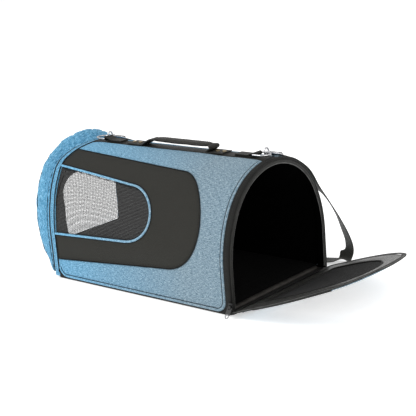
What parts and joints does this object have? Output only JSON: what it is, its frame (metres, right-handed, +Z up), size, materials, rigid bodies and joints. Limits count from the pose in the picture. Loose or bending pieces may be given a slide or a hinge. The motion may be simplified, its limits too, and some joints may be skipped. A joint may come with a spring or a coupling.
{
  "type": "pet transport carrier",
  "caption": "Soft-sided arched pet carrier with mesh side windows, zipped end doors, a carry handle on the ridge and a clipped shoulder strap.",
  "frame": {"origin": "centre of the cabin's underside, on the floor", "axes": "+X along the length towards the open door, +Y to the back, +Z up"},
  "size_m": [0.7448, 0.3688, 0.265],
  "materials": {
    "base_black": "coated underside cloth",
    "board": "stiff board",
    "mat": "padded fleece",
    "melange": "blue melange polyester",
    "lining": "thin lining",
    "oxford": "dark oxford weave",
    "mesh": "open mesh",
    "piping": "light blue piping",
    "binding": "black binding tape",
    "spring_wire": "spring wire",
    "zip_coil": "nylon coil",
    "webbing": "black webbing",
    "grip": "padded grip cloth",
    "rivet": "dull brass",
    "chrome": "polished",
    "satin": "satin facing",
    "slider": "black lacquer",
    "strap": "woven strap",
    "buckle": "moulded plastic"
  },
  "bodies": {
    "carrier": {"base_panel": "base_black", "base_board": "board", "floor_mat": "mat", "arch_shell": "melange", "lining": "lining", "side_panel_front": "oxford", "side_panel_back": "oxford", "window_mesh_front": "mesh", "window_mesh_back": "mesh", "window_piping_front": "piping", "window_piping_back": "piping", "bottom_piping_front": "piping", "bottom_piping_back": "piping", "left_rim": "binding", "right_rim": "binding", "left_frame_wire": "spring_wire", "right_frame_wire": "spring_wire", "left_zip_coil": "zip_coil", "right_zip_coil": "zip_coil", "ridge_webbing": "webbing", "handle_webbing": "webbing", "handle_grip": "grip", "handle_rivets": "rivet", "left_ring_tab": "webbing", "right_ring_tab": "webbing", "left_d_ring": "chrome", "right_d_ring": "chrome", "left_hook": "chrome", "right_hook": "chrome", "shoulder_strap": "strap", "strap_slider": "buckle"},
    "left_door": {"left_door_border": "melange", "left_door_mesh": "mesh", "left_door_coil": "zip_coil", "left_door_hinge": "binding"},
    "right_door": {"right_door_border": "melange", "right_door_trim": "satin", "right_door_mesh": "mesh", "right_door_coil": "zip_coil", "right_door_hinge": "binding"},
    "right_slider": {"right_slider": "slider"},
    "right_pull": {"right_pull": "slider", "right_pull_ring": "chrome"},
    "left_slider": {"left_slider": "slider"},
    "left_pull": {"left_pull": "slider", "left_pull_ring": "chrome"},
    "right_gate": {"right_hook_gate": "chrome"},
    "left_gate": {"left_hook_gate": "chrome"}
  },
  "joints": [
    {"name": "right_door_hinge", "type": "hinge", "parent": "carrier", "child": "right_door", "pos_m": [0.23, 0, 0.0055], "axis": [0, -1, 0], "range_deg": [-19, 71]},
    {"name": "left_door_hinge", "type": "hinge", "parent": "carrier", "child": "left_door", "pos_m": [-0.23, 0, 0.0055], "axis": [0, -1, 0], "range_deg": [0, 58]},
    {"name": "right_slider_slide", "type": "slide", "parent": "carrier", "child": "right_slider", "axis": [0, 0, 1], "range_m": [0, 0.05]},
    {"name": "left_slider_slide", "type": "slide", "parent": "carrier", "child": "left_slider", "axis": [0, 0, 1], "range_m": [0, 0.05]},
    {"name": "right_pull_swing", "type": "hinge", "parent": "right_slider", "child": "right_pull", "pos_m": [0.2265, -0.1497, 0.018], "axis": [1, 0, 0], "range_deg": [-90, 20]},
    {"name": "left_pull_swing", "type": "hinge", "parent": "left_slider", "child": "left_pull", "pos_m": [-0.2265, 0.1497, 0.018], "axis": [-1, 0, 0], "range_deg": [-90, 20]},
    {"name": "right_gate_hinge", "type": "hinge", "parent": "carrier", "child": "right_gate", "pos_m": [0.198, 0.01836, 0.2528], "axis": [1, 0, 0], "range_deg": [-20, 0], "stiffness_Nm_per_rad": 0.01},
    {"name": "left_gate_hinge", "type": "hinge", "parent": "carrier", "child": "left_gate", "pos_m": [-0.198, 0.01836, 0.2528], "axis": [1, 0, 0], "range_deg": [-20, 0], "stiffness_Nm_per_rad": 0.01}
  ]
}
